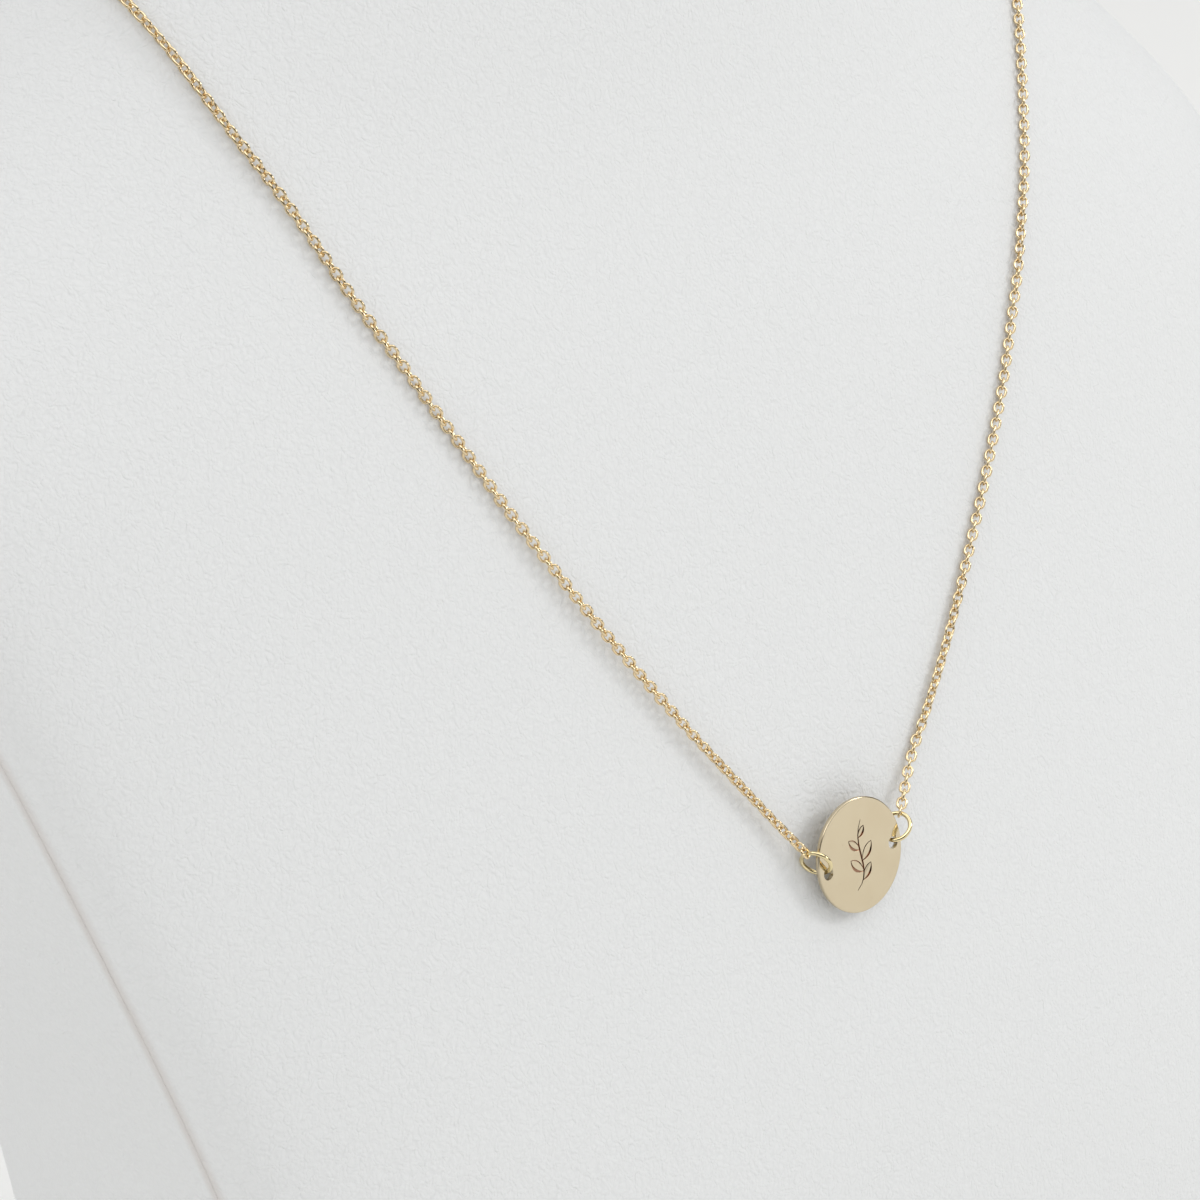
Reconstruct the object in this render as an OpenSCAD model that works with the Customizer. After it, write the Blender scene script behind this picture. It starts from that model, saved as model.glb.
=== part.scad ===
// Initial pendant necklace on a white neck bust.
// A thin gold disc hangs between two strands of fine cable chain, each held by
// a jump ring through a hole near the rim. The strands lie on the chest of the
// bust, pass round its neck and close with a spring ring clasp at the nape.
// Millimetres. The front of the bust faces -Y, up is +Z, and the origin is the
// middle of the bust's flat base.

/* [Bust] */
// Height of the bust, from its flat base to the cut top of the neck
bust_h = 250; // [225:1:280]
// Width across the shoulders
bust_w = 187; // [170:1:210]
// Depth from the fullest part of the chest to the back
bust_d = 120.5; // [110:0.5:135]
// Width of the seam between the front and the back half
seam_gap = 0.3; // [0.2:0.05:0.4]
// Rounding of the edge at the base and at the top of the neck
edge_r = 4; // [2:0.5:6]

/* [Disc] */
// Diameter of the disc
disc_d = 12; // [11:0.5:16]
// Thickness of the disc
disc_t = 0.5; // [0.4:0.05:0.6]
// Rounding of the disc's edge
disc_edge = 0.12; // [0.05:0.01:0.18]
// Diameter of the two holes
hole_d = 1.3; // [1.2:0.05:1.5]
// Metal left between a hole and the rim
hole_rim = 0.57; // [0.45:0.01:0.8]
// How far the line of the holes lies below the middle of the disc
hole_drop = 0.38; // [0:0.02:0.6]
// Lean of the disc from upright, its top towards the neck, in degrees
disc_lean = 9; // [5:0.5:14]
// Turn of the disc in its own plane, its right side higher, in degrees
disc_roll = 4.5; // [0:0.5:8]
// Distance from the chest to the middle of the disc
disc_off = 1.95; // [1.9:0.05:2.6]
// Depth of the engraved ornament
groove = 0.12; // [0.06:0.02:0.2]

/* [Jump rings] */
// Outer diameter of a jump ring
ring_od = 3.5; // [3.3:0.1:3.6]
// Wire of a jump ring
ring_wire = 0.45; // [0.35:0.05:0.5]
// Turn of a jump ring about the pull of its strand, in degrees
ring_turn = 20; // [0:1:25]

/* [Chain] */
// Width of a chain link, which is the diameter of the strand
link_w = 1.22; // [1:0.02:1.5]
// Clearance between a strand and the bust
lay_gap = 0.25; // [0.25:0.05:0.4]

/* [Clasp] */
// Outer diameter of the spring ring
clasp_od = 5.5; // [5:0.1:7]
// Tube of the spring ring
clasp_tube = 1.1; // [0.9:0.05:1.1]
// Wire of the clasp's eye and of the end ring
eye_wire = 0.4; // [0.3:0.05:0.4]
// Outer diameter of the end ring that the clasp takes
end_od = 3; // [2.9:0.05:3.4]

/* [Hidden] */

WHITE = [0.9, 0.9, 0.88];
GOLD = [0.83, 0.72, 0.47];

// Sections of the bust at the size that the table was measured at. Each row is
// [height, half width, front, seam, back], the last three along Y.
TABLE_H = 250;
TABLE_W = 187;
TABLE_D = 120.5;
HALF_W = 1;
FRONT = 2;
SEAM = 3;
BACK = 4;
SECTIONS = [
    [0, 62, -2.5, 9, 72],
    [20, 65, -6.2, 7, 80],
    [45, 69, -8, 6, 88],
    [62, 71, -6.8, 6.5, 93],
    [76, 73.2, -4.3, 8.3, 97],
    [88, 76.4, -1.35, 11, 101],
    [100, 80.2, 1.85, 13.8, 104],
    [111, 83.6, 4.8, 17, 107],
    [122, 87, 8, 20.5, 109],
    [134, 91, 11.5, 25, 111],
    [146, 93.5, 15.25, 30, 112],
    [155, 91.5, 18.3, 34.5, 112.5],
    [163, 86.5, 21.1, 39, 112],
    [172, 78.2, 23.7, 44.5, 110.5],
    [182, 69, 25.4, 50, 108],
    [193, 62.2, 27.2, 55.5, 107.4],
    [206, 59.2, 28.2, 60, 106.8],
    [220, 57.2, 28, 62, 106],
    [236, 56.6, 27, 63, 106.3],
    [250, 57.5, 25.5, 64, 107.4]
];

// Route of a strand on the bust, from the jump ring to the clasp. Each row is
// [angle round the section, height], with 0 at the side seam and 90 in front.
ROUTE = [
    [85, 99.2],
    [78.4, 111.6],
    [73.2, 123.8],
    [69.2, 135.6],
    [66, 146],
    [61.6, 156],
    [54.6, 166.6],
    [43.9, 176.4],
    [29, 186],
    [7.5, 195.2],
    [-12.4, 199.8],
    [-31.6, 202.2],
    [-50.6, 203.3],
    [-68.6, 203.8],
    [-86, 204]
];

// Height of the middle of the disc in the table above
DISC_Z = 96.8;
// Distance along a strand over which it settles from the ring onto the bust
SETTLE = 14;
// Clearance between pieces that hang in one another
SLACK = 0.08;

fx = bust_w / TABLE_W;
fy = bust_d / TABLE_D;
fz = bust_h / TABLE_H;
last_row = len(SECTIONS) - 1;

// Row of the section table just below a height
function row_at(z) = max([for (i = [0 : last_row - 1]) if (i == 0 || SECTIONS[i][0] <= z) i]);

// Slope of a column of the table at one of its rows
function slope(i, col) =
    let (a = max(i - 1, 0), b = min(i + 1, last_row))
    (SECTIONS[b][col] - SECTIONS[a][col]) / (SECTIONS[b][0] - SECTIONS[a][0]);

// A column of the table at any height, on a smooth curve through its rows
function column(z, col) =
    let (i = row_at(z))
    let (h = SECTIONS[i + 1][0] - SECTIONS[i][0])
    let (t = (z - SECTIONS[i][0]) / h)
    (2 * t ^ 3 - 3 * t ^ 2 + 1) * SECTIONS[i][col]
    + (t ^ 3 - 2 * t ^ 2 + t) * h * slope(i, col)
    + (3 * t ^ 2 - 2 * t ^ 3) * SECTIONS[i + 1][col]
    + (t ^ 3 - t ^ 2) * h * slope(i + 1, col);

// How square a section is, where 2 is an ellipse. The neck is an ellipse, the
// chest is a little fuller and the back fuller still, up to the shoulders.
CHEST_FULL = 0.5;
BACK_FULL = 1;
SHOULDER_Z = 140;
NECK_Z = 190;
function chest_share(z) = 1 - min(max((z - SHOULDER_Z) / (NECK_Z - SHOULDER_Z), 0), 1);
function power(z, behind) = 2 + (behind ? BACK_FULL : CHEST_FULL) * chest_share(z);

// Heights of the section rings, evenly spaced in the table
BUST_RINGS = 60;
ring_zs = [for (i = [0 : BUST_RINGS]) i * TABLE_H / BUST_RINGS];

// Middle of the depth, which is put at Y = 0
mid_y = (min([for (z = ring_zs) column(z, FRONT)]) + max([for (z = ring_zs) column(z, BACK)])) / 2;

// Point of the bust at an angle round a section and a height in the table.
// inset draws the section in, gap moves its flat side off the seam, and behind
// is true for the back half.
function skin(a, z, inset = 0, gap = 0, behind = undef) =
    let (behind = is_undef(behind) ? sin(a) < 0 : behind)
    let (w = column(z, HALF_W) * fx - inset)
    let (seam = column(z, SEAM) * fy + (behind ? gap : -gap))
    let (d = abs(column(z, behind ? BACK : FRONT) * fy - seam) - inset)
    let (p = power(z, behind))
    let (r = (abs(cos(a)) ^ p + abs(sin(a)) ^ p) ^ (-1 / p))
    [w * r * cos(a), seam - mid_y * fy - d * r * sin(a), z * fz];

function unit(v) = v / norm(v);

// Direction straight out of the bust at a point of it
function outward(a, z) =
    let (step = 0.2)
    unit(cross(skin(a + step, z) - skin(a - step, z), skin(a, z - step) - skin(a, z + step)));

// Rings of one half as [height, inset], with the edges at both ends rounded
EDGE_STEPS = 3;
function edge_in(k) = edge_r * (1 - sin(90 * k / EDGE_STEPS));
function edge_up(k) = edge_r / fz * (1 - cos(90 * k / EDGE_STEPS));
function half_rings() = concat(
    [for (k = [0 : EDGE_STEPS]) [edge_up(k), edge_in(k)]],
    [for (z = ring_zs) if (min(z, TABLE_H - z) > edge_r / fz + 1) [z, 0]],
    [for (k = [0 : EDGE_STEPS]) [TABLE_H - edge_up(EDGE_STEPS - k), edge_in(EDGE_STEPS - k)]]);

// Closed solid through rings of points. All rings have the same number of
// points and run counterclockwise seen from the last ring.
module through(rings) {
    n = len(rings[0]);
    m = len(rings);
    sides = [
        for (i = [0 : m - 2], j = [0 : n - 1])
            let (k = (j + 1) % n)
            each [
                [i * n + j, (i + 1) * n + j, (i + 1) * n + k],
                [i * n + j, (i + 1) * n + k, i * n + k]
            ]
    ];
    first = [for (j = [0 : n - 1]) j];
    last = [for (j = [n - 1 : -1 : 0]) (m - 1) * n + j];
    polyhedron(points = [for (r = rings) each r], faces = concat(sides, [first, last]));
}

// Front or back half of the bust, flat at the seam
module bust_half(behind) {
    cuts = 32;
    from = behind ? 0 : 180;
    through([
        for (r = half_rings())
            [for (j = [0 : cuts]) skin(from - 180 * j / cuts, r[0], r[1], seam_gap / 2, behind)]
    ]);
}

module bust_front() color(WHITE) bust_half(false);

module bust_back() color(WHITE) bust_half(true);

// Axes of the disc: normal out of its face, u along its holes, v up across them
disc_n = [0, -cos(disc_lean), sin(disc_lean)];
disc_up = [0, sin(disc_lean), cos(disc_lean)];
disc_u = cos(disc_roll) * [1, 0, 0] + sin(disc_roll) * disc_up;
disc_v = cos(disc_roll) * disc_up - sin(disc_roll) * [1, 0, 0];
disc_c = skin(90, DISC_Z) + disc_off * outward(90, DISC_Z);
hole_x = disc_d / 2 - hole_rim - hole_d / 2;

// Moves children from the XY plane to axes x, y, z and the point c
module at_axes(x, y, z, c) {
    multmatrix([
        [x[0], y[0], z[0], c[0]],
        [x[1], y[1], z[1], c[1]],
        [x[2], y[2], z[2], c[2]],
        [0, 0, 0, 1]
    ])
        children();
}

// Point on a curve through four control points
function bezier(p, t) =
    (1 - t) ^ 3 * p[0] + 3 * t * (1 - t) ^ 2 * p[1] + 3 * t ^ 2 * (1 - t) * p[2] + t ^ 3 * p[3];

function bezier_side(p, t) =
    let (step = 0.01)
    let (d = bezier(p, t + step) - bezier(p, t - step))
    [-d[1], d[0]] / norm(d);

// Width of an engraved stroke along it, a hairline at both ends
HAIR = 0.07;
function stroke_w(t, full) = HAIR + (full - HAIR) * sin(180 * t) ^ 1.5;

// One engraved stroke, seen from above
module stroke(p, full) {
    n = 10;
    edge = [for (i = [0 : n]) bezier_side(p, i / n) * stroke_w(i / n, full) / 2];
    polygon(concat(
        [for (i = [0 : n]) bezier(p, i / n) + edge[i]],
        [for (i = [n : -1 : 0]) bezier(p, i / n) - edge[i]]));
}

// Plain sprig of leaves, drawn for a disc of SPRIG_D. The stem is a curve, and
// each leaf is [its root along the stem, its side, its length].
SPRIG_D = 12;
STEM = [[-1.1, -3.5], [1.7, -2], [-1.3, 1], [0.7, 3.6]];
STEM_FULL = 0.24;
LEAVES = [
    [0.16, 1, 1.7],
    [0.3, -1, 1.9],
    [0.46, 1, 1.9],
    [0.62, -1, 1.6],
    [0.78, 1, 1.2]
];
LEAF_TIP = [0.85, 0.85];
LEAF_UPPER = 0.12;
LEAF_LOWER = 0.3;
// One edge of a leaf, from its root to its tip by two control points
function leaf_edge(l, first, second) =
    let (root = bezier(STEM, l[0]))
    [for (q = [[0, 0], first, second, LEAF_TIP]) root + l[2] * [q[0] * l[1], q[1]]];

module sprig() {
    scale([disc_d / SPRIG_D, disc_d / SPRIG_D]) {
        stroke(STEM, STEM_FULL);
        for (l = LEAVES) {
            stroke(leaf_edge(l, [0.1, 0.55], [0.45, 0.85]), LEAF_UPPER);
            stroke(leaf_edge(l, [0.5, 0.05], [0.85, 0.35]), LEAF_LOWER);
        }
    }
}

module disc_blank() {
    r = disc_d / 2;
    e = disc_edge;
    rotate_extrude($fn = 96)
        union() {
            translate([0, -disc_t / 2])
                square([r - e, disc_t]);
            translate([0, -disc_t / 2 + e])
                square([r, disc_t - 2 * e]);
            for (side = [-1, 1]) {
                translate([r - e, side * (disc_t / 2 - e)])
                    circle(r = e, $fn = 32);
            }
        }
}

module disc() {
    color(GOLD)
        at_axes(disc_u, disc_v, disc_n, disc_c)
            difference() {
                disc_blank();
                for (side = [-1, 1]) {
                    translate([side * hole_x, -hole_drop, -disc_t])
                        cylinder(d = hole_d, h = 2 * disc_t, $fn = 48);
                }
                translate([0, 0, disc_t / 2 - groove])
                    linear_extrude(groove + 1)
                        sprig();
            }
}

// Ring of round wire in the XY plane
module wire_ring(od, wire) {
    rotate_extrude($fn = 64)
        translate([(od - wire) / 2, 0])
            circle(d = wire, $fn = 32);
}

// Place of a jump ring: it bears on the outer rim of its hole, towards the
// strand, and its plane holds the pull of the strand. AIM is the place on the
// bust, [angle, height], that the pull is aimed at.
AIM = [81.5, 105.4];
ring_r = (ring_od - ring_wire) / 2;
bear = (hole_d - ring_wire) / 2 - 2 * SLACK;
function hole_at(side) = disc_c + side * hole_x * disc_u - hole_drop * disc_v;
function strand_at(side) =
    let (p = skin(AIM[0], AIM[1]) + (link_w / 2 + lay_gap) * outward(AIM[0], AIM[1]))
    [side * p[0], p[1], p[2]];
function in_disc(v) = (v * disc_u) * disc_u + (v * disc_v) * disc_v;
function bear_at(side) = hole_at(side) + bear * unit(in_disc(strand_at(side) - hole_at(side)));
function pull(side) = unit(strand_at(side) - bear_at(side));
function ring_at(side) = bear_at(side) + ring_r * pull(side);
function ring_cross(side) =
    let (d = pull(side))
    let (w = unit(disc_n - (disc_n * d) * d))
    cos(ring_turn) * w + sin(ring_turn) * cross(d, w);

module jump_ring(side) {
    d = pull(side);
    w = ring_cross(side);
    at_axes(d, w, cross(d, w), ring_at(side))
        wire_ring(ring_od, ring_wire);
}

module jump_ring_left() color(GOLD) jump_ring(-1);

module jump_ring_right() color(GOLD) jump_ring(1);

// Place of the clasp: flat against the nape, held off it by the end ring
CLASP_Z = 204;
clasp_y = outward(-90, CLASP_Z);
clasp_x = [1, 0, 0];
end_r = (end_od - eye_wire) / 2;
END_TILT = 40;
clasp_off = end_r * cos(END_TILT) + eye_wire / 2 + lay_gap;
clasp_c = skin(-90, CLASP_Z) + clasp_off * clasp_y;
// The clasp's eye is soldered to its tube, and sinks into it a little
eye_od = 1.9;
EYE_SUNK = 0.25;
eye_x = (clasp_od + eye_od) / 2 - EYE_SUNK;
end_x = clasp_od / 2 - clasp_tube - SLACK - eye_wire / 2 + end_r;
// How far a strand stops from the middle of the nape, left and right
function strand_end(side) = SLACK + (side < 0 ? eye_x + eye_od / 2 : end_x + end_od / 2);

module clasp() {
    color(GOLD)
        at_axes(clasp_x, cross(clasp_y, clasp_x), clasp_y, clasp_c) {
            wire_ring(clasp_od, clasp_tube);
            translate([-eye_x, 0, 0])
                wire_ring(eye_od, eye_wire);
        }
}

module end_ring() {
    color(GOLD)
        at_axes(clasp_x, cross(clasp_y, clasp_x), clasp_y, clasp_c)
            translate([end_x, 0, 0])
                rotate([90 - END_TILT, 0, 0])
                    wire_ring(end_od, eye_wire);
}

// Row of the route, with one more in line before the first and after the last
function route_row(i) =
    let (n = len(ROUTE) - 1)
    i < 0 ? 2 * ROUTE[0] - ROUTE[1] : i > n ? 2 * ROUTE[n] - ROUTE[n - 1] : ROUTE[i];

// Point of the route between its rows, u from 0 to 1, on a smooth curve
function route(u) =
    let (n = len(ROUTE) - 1)
    let (i = min(floor(u * n), n - 1))
    let (t = u * n - i)
    let (a = route_row(i - 1), b = route_row(i), c = route_row(i + 1), d = route_row(i + 2))
    0.5 * (2 * b + (c - a) * t + (2 * a - 5 * b + 4 * c - d) * t ^ 2 + (3 * b - a - 3 * c + d) * t ^ 3);

// Middle line of a strand where it lies on the bust
function lay(side, u) =
    let (r = route(u))
    let (p = skin(r[0], r[1]) + (link_w / 2 + lay_gap) * outward(r[0], r[1]))
    [side * p[0], p[1], p[2]];

// Ends of a strand: clear of the jump ring, and clear of the clasp
function strand_start(side) = ring_at(side) + (ring_od / 2 + SLACK) * pull(side);
function strand_stop(side) = clasp_c + side * strand_end(side) * clasp_x;

// Share of an end's shift that a point at a distance from that end takes
function settle(distance) = max(1 - distance / SETTLE, 0) ^ 2;

function strand(side, u) =
    let (p = lay(side, u), a = lay(side, 0), b = lay(side, 1))
    p + (strand_start(side) - a) * settle(norm(p - a))
        + (strand_stop(side) - b) * settle(norm(p - b));

// Smooth tube along points, its sides kept level with the bust
module tube(points, d) {
    sides = 8;
    n = len(points) - 1;
    through([
        for (i = [0 : n])
            let (t = unit(points[min(i + 1, n)] - points[max(i - 1, 0)]))
            let (x = unit(cross([0, 0, 1], t)))
            let (y = cross(t, x))
            [for (j = [0 : sides - 1])
                let (a = j * 360 / sides)
                points[i] + d / 2 * (cos(a) * x + sin(a) * y)]
    ]);
}

STRAND_RINGS = 40;

module chain(side) {
    last = STRAND_RINGS - 1;
    tube([for (i = [0 : last]) strand(side, i / last)], link_w);
}

module chain_left() color(GOLD) chain(-1);

module chain_right() color(GOLD) chain(1);

bust_front();
bust_back();
disc();
jump_ring_left();
jump_ring_right();
chain_left();
chain_right();
clasp();
end_ring();
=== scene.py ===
import math
import random

import bmesh
import bpy
import numpy as np
from bpy.props import FloatProperty, FloatVectorProperty, IntProperty, PointerProperty
from mathutils import Matrix, Vector
from mathutils.bvhtree import BVHTree


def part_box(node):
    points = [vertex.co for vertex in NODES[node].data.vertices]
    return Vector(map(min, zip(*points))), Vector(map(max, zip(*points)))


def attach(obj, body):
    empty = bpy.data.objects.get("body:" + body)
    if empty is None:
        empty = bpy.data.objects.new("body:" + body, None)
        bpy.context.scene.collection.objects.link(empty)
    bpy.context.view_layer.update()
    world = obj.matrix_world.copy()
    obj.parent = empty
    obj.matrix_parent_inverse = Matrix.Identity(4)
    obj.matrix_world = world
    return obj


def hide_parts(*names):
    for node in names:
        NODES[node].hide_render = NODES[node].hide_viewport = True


bl_info = {
    "name": "Disc pendant necklace on a bust",
    "version": (1, 0, 0),
    "blender": (4, 5, 0),
    "location": "3D View > Sidebar > Necklace",
    "description": "Leatherette bust, engraved disc, jump rings, cable chain and clasp",
    "category": "Object",
}

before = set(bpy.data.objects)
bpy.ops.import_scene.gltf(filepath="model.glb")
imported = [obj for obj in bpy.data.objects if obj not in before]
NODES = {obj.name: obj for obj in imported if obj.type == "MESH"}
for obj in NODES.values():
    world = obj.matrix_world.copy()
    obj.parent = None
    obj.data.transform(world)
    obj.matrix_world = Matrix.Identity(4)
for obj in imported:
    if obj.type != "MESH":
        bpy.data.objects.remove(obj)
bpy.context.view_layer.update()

MM = 0.001
BODY = "root"

# How the disc stands: its top leans back to the neck and its right side is higher
DISC_LEAN = math.radians(9)
DISC_ROLL = math.radians(4.5)
DISC_THICK = 0.5 * MM

# Points closer together than this are one point
MERGE = 0.001 * MM

# Height of the fine unevenness in the polish of the wires and the chain, and of the disc
WIRE_BUMP = 0.0006 * MM
DISC_BUMP = 0.0004 * MM


class BustSettings(bpy.types.PropertyGroup):
    colour: FloatVectorProperty(
        name="Leatherette", description="Colour of the leatherette on the bust",
        subtype="COLOR", size=3, min=0, max=1, default=(0.81, 0.817, 0.818))
    grain: FloatProperty(
        name="Grain", description="Width of one pebble of the leatherette's grain",
        unit="LENGTH", precision=5, min=0.1 * MM, max=3 * MM, default=0.4 * MM)
    seam_roll: FloatProperty(
        name="Seam roll", description="Rounding of the leatherette where it turns into the seam",
        unit="LENGTH", precision=5, min=0.1 * MM, max=2 * MM, default=0.2 * MM)
    # The seam band is a bump dip plus a warm dust tint that is partly painted shade.
    seam_band: FloatProperty(
        name="Seam band", description="Half the width of the dusty dip along the seam",
        unit="LENGTH", precision=5, min=0.5 * MM, max=4 * MM, default=1.6 * MM)
    seam_close: FloatProperty(
        name="Seam fill", description="How far each cover stands into the gap between the halves",
        unit="LENGTH", precision=5, min=0, max=0.15 * MM, default=0.146 * MM)


class DiscSettings(bpy.types.PropertyGroup):
    colour: FloatVectorProperty(
        name="Disc gold", description="Colour of the polished disc",
        subtype="COLOR", size=3, min=0, max=1, default=(0.622, 0.532, 0.377))
    # This colour is painted shade, laid down in the engraved strokes and in the tiny pits.
    engraving_shade: FloatVectorProperty(
        name="Engraving", description="Colour of the metal down in the engraved strokes",
        subtype="COLOR", size=3, min=0, max=1, default=(0.30, 0.17, 0.11))
    edge: FloatProperty(
        name="Edge", description="Width of the broken edge along the strokes and the holes",
        unit="LENGTH", precision=5, min=0.005 * MM, max=0.03 * MM, default=0.015 * MM)
    rim: FloatProperty(
        name="Rim", description="Width of the rounding round the disc's rim",
        unit="LENGTH", precision=5, min=0.03 * MM, max=0.22 * MM, default=0.2 * MM)


class WireSettings(bpy.types.PropertyGroup):
    colour: FloatVectorProperty(
        name="Ring gold", description="Colour of the jump rings, the end ring and the clasp",
        subtype="COLOR", size=3, min=0, max=1, default=(0.80, 0.68, 0.40))
    ring_od: FloatProperty(
        name="Jump ring", description="Outer diameter of a jump ring",
        unit="LENGTH", precision=5, default=3.5 * MM)
    ring_wire: FloatProperty(
        name="Jump ring wire", description="Wire of a jump ring",
        unit="LENGTH", precision=5, default=0.45 * MM)
    clasp_od: FloatProperty(
        name="Clasp", description="Outer diameter of the spring ring",
        unit="LENGTH", precision=5, default=5.5 * MM)
    clasp_tube: FloatProperty(
        name="Clasp tube", description="Tube of the spring ring",
        unit="LENGTH", precision=5, default=1.1 * MM)
    eye_od: FloatProperty(
        name="Clasp eye", description="Outer diameter of the clasp's eye",
        unit="LENGTH", precision=5, default=1.9 * MM)
    end_od: FloatProperty(
        name="End ring", description="Outer diameter of the end ring",
        unit="LENGTH", precision=5, default=3 * MM)
    end_wire: FloatProperty(
        name="End ring wire", description="Wire of the end ring and of the clasp's eye",
        unit="LENGTH", precision=5, default=0.4 * MM)


class ChainSettings(bpy.types.PropertyGroup):
    colour: FloatVectorProperty(
        name="Chain gold", description="Colour of the chain",
        subtype="COLOR", size=3, min=0, max=1, default=(0.84, 0.677, 0.425))
    link_length: FloatProperty(
        name="Link length", description="Outer length of a link",
        unit="LENGTH", precision=5, default=1.505 * MM)
    link_width: FloatProperty(
        name="Link width", description="Outer width of a link",
        unit="LENGTH", precision=5, default=1.22 * MM)
    wire: FloatProperty(
        name="Link wire", description="Wire of a link",
        unit="LENGTH", precision=5, default=0.3 * MM)
    lift: FloatProperty(
        name="Lift",
        description="How high the left strand stands off the leatherette near the disc",
        unit="LENGTH", precision=5, min=0, max=1 * MM, default=0.45 * MM)
    wobble: FloatProperty(
        name="Wobble", description="How unevenly the links lie",
        subtype="ANGLE", default=math.radians(4))
    seed: IntProperty(
        name="Seed", description="Start of the random draws for the links", default=7)


class StageSettings(bpy.types.PropertyGroup):
    floor: FloatVectorProperty(
        name="Floor", description="Colour of the floor",
        subtype="COLOR", size=3, min=0, max=1, default=(0.87, 0.87, 0.86))
    key: FloatProperty(
        name="Key light", description="Power of the soft light at the right front",
        unit="POWER", default=2.6)
    room: FloatProperty(
        name="Room light", description="Brightness of the pale room", default=0.975)


# ---- shaping helpers ----


def only(piece):
    """Selects one object and nothing else."""
    bpy.ops.object.select_all(action="DESELECT")
    piece.select_set(True)
    bpy.context.view_layer.objects.active = piece


def begin_edit(piece):
    """Opens one object in edit mode with all of it selected."""
    only(piece)
    bpy.ops.object.mode_set(mode="EDIT")
    bpy.ops.mesh.select_all(action="SELECT")


def end_edit():
    bpy.ops.object.mode_set(mode="OBJECT")


def pick(piece, mode, test):
    """Selects the vertices, edges or faces of the open mesh that pass a test."""
    bpy.ops.mesh.select_all(action="DESELECT")
    bpy.ops.mesh.select_mode(type=mode)
    bm = bmesh.from_edit_mesh(piece.data)
    for part in {"VERT": bm.verts, "EDGE": bm.edges, "FACE": bm.faces}[mode]:
        part.select = bool(test(part))
    bm.select_flush_mode()
    bmesh.update_edit_mesh(piece.data)


def merged_copy(node, name):
    """A new object with the merged mesh of a CAD node."""
    mesh = NODES[node].data.copy()
    mesh.materials.clear()
    mesh.name = name
    piece = bpy.data.objects.new(name, mesh)
    bpy.context.scene.collection.objects.link(piece)
    begin_edit(piece)
    bpy.ops.mesh.remove_doubles(threshold=MERGE)
    end_edit()
    return piece


def add_modifier(piece, kind, **values):
    """Adds a modifier and applies it."""
    only(piece)
    mod = piece.modifiers.new(kind.title(), kind)
    for key, value in values.items():
        setattr(mod, key, value)
    bpy.ops.object.modifier_apply(modifier=mod.name)


def smooth(piece):
    only(piece)
    bpy.ops.object.shade_smooth()


def place(piece, matrix):
    """Moves a piece by a matrix, which then goes into its mesh."""
    piece.matrix_world = matrix
    only(piece)
    bpy.ops.object.transform_apply(location=True, rotation=True, scale=True)


def join(pieces, name):
    bpy.ops.object.select_all(action="DESELECT")
    for piece in pieces:
        piece.select_set(True)
    bpy.context.view_layer.objects.active = pieces[0]
    bpy.ops.object.join()
    whole = bpy.context.view_layer.objects.active
    whole.name = whole.data.name = name
    return whole


def finish_piece(piece, material, slot, *nodes):
    """Gives a piece its material and the body it rides on, and hides the nodes it stands for."""
    piece.data.materials.clear()
    piece.data.materials.append(material)
    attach(piece, BODY)
    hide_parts(*nodes)


def flat_axis(node):
    """Direction in which a flat CAD node is thinnest, towards the viewer's side."""
    points = np.array([v.co for v in NODES[node].data.vertices])
    axis = Vector(np.linalg.svd(points - points.mean(0), full_matrices=False)[2][2])
    return axis if axis.y < 0 else -axis


def middle(node):
    low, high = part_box(node)
    return (low + high) / 2


def axes(x, z, at):
    """Matrix with its Z along z, its X as near x as it can be, and its origin at a point."""
    z = z.normalized()
    y = z.cross(x).normalized()
    x = y.cross(z)
    return Matrix.Translation(at) @ Matrix((x, y, z)).transposed().to_4x4()


# ---- material helpers ----


def link(tree, source, target):
    tree.links.new(source, target)


def node(tree, kind, inputs=(), **values):
    """Adds a shader node; inputs is a list of (socket name or number, value or socket)."""
    n = tree.nodes.new(kind)
    for key, value in values.items():
        setattr(n, key, value)
    for socket, value in inputs:
        if isinstance(value, bpy.types.NodeSocket):
            link(tree, value, n.inputs[socket])
        else:
            n.inputs[socket].default_value = value
    return n


def maths(tree, operation, *values):
    return node(tree, "ShaderNodeMath", enumerate(values), operation=operation).outputs[0]


def map_range(tree, value, from_min, from_max, to_min, to_max):
    n = node(tree, "ShaderNodeMapRange",
             [("Value", value), ("From Min", from_min), ("From Max", from_max),
              ("To Min", to_min), ("To Max", to_max)])
    return n.outputs["Result"]


def mix_colour(tree, share, first, second):
    n = node(tree, "ShaderNodeMix", [("Factor", share), (6, first), (7, second)], data_type="RGBA")
    return n.outputs[2]


def noise(tree, where, scale, detail=2.0, roughness=0.5):
    n = node(tree, "ShaderNodeTexNoise",
             [("Vector", where), ("Scale", scale), ("Detail", detail), ("Roughness", roughness)])
    return n.outputs["Fac"]


def new_material(name):
    """A material with an empty Principled shader; returns it, its tree and the shader."""
    material = bpy.data.materials.new(name)
    material.use_nodes = True
    tree = material.node_tree
    tree.nodes.clear()
    shader = tree.nodes.new("ShaderNodeBsdfPrincipled")
    out = tree.nodes.new("ShaderNodeOutputMaterial")
    link(tree, shader.outputs[0], out.inputs[0])
    return material, tree, shader


def object_place(tree):
    return tree.nodes.new("ShaderNodeTexCoord").outputs["Object"]


def rgba(colour, share=1.0):
    return (*(c * share for c in colour), 1.0)


def new_group(name, inputs, outputs):
    """A shader node group; returns its tree, its input sockets and its output node."""
    tree = bpy.data.node_groups.new(name, "ShaderNodeTree")
    for label, kind, value in inputs:
        socket = tree.interface.new_socket(label, in_out="INPUT", socket_type=kind)
        if value is not None:
            socket.default_value = value
    for label, kind in outputs:
        tree.interface.new_socket(label, in_out="OUTPUT", socket_type=kind)
    return tree, tree.nodes.new("NodeGroupInput").outputs, tree.nodes.new("NodeGroupOutput").inputs


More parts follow.
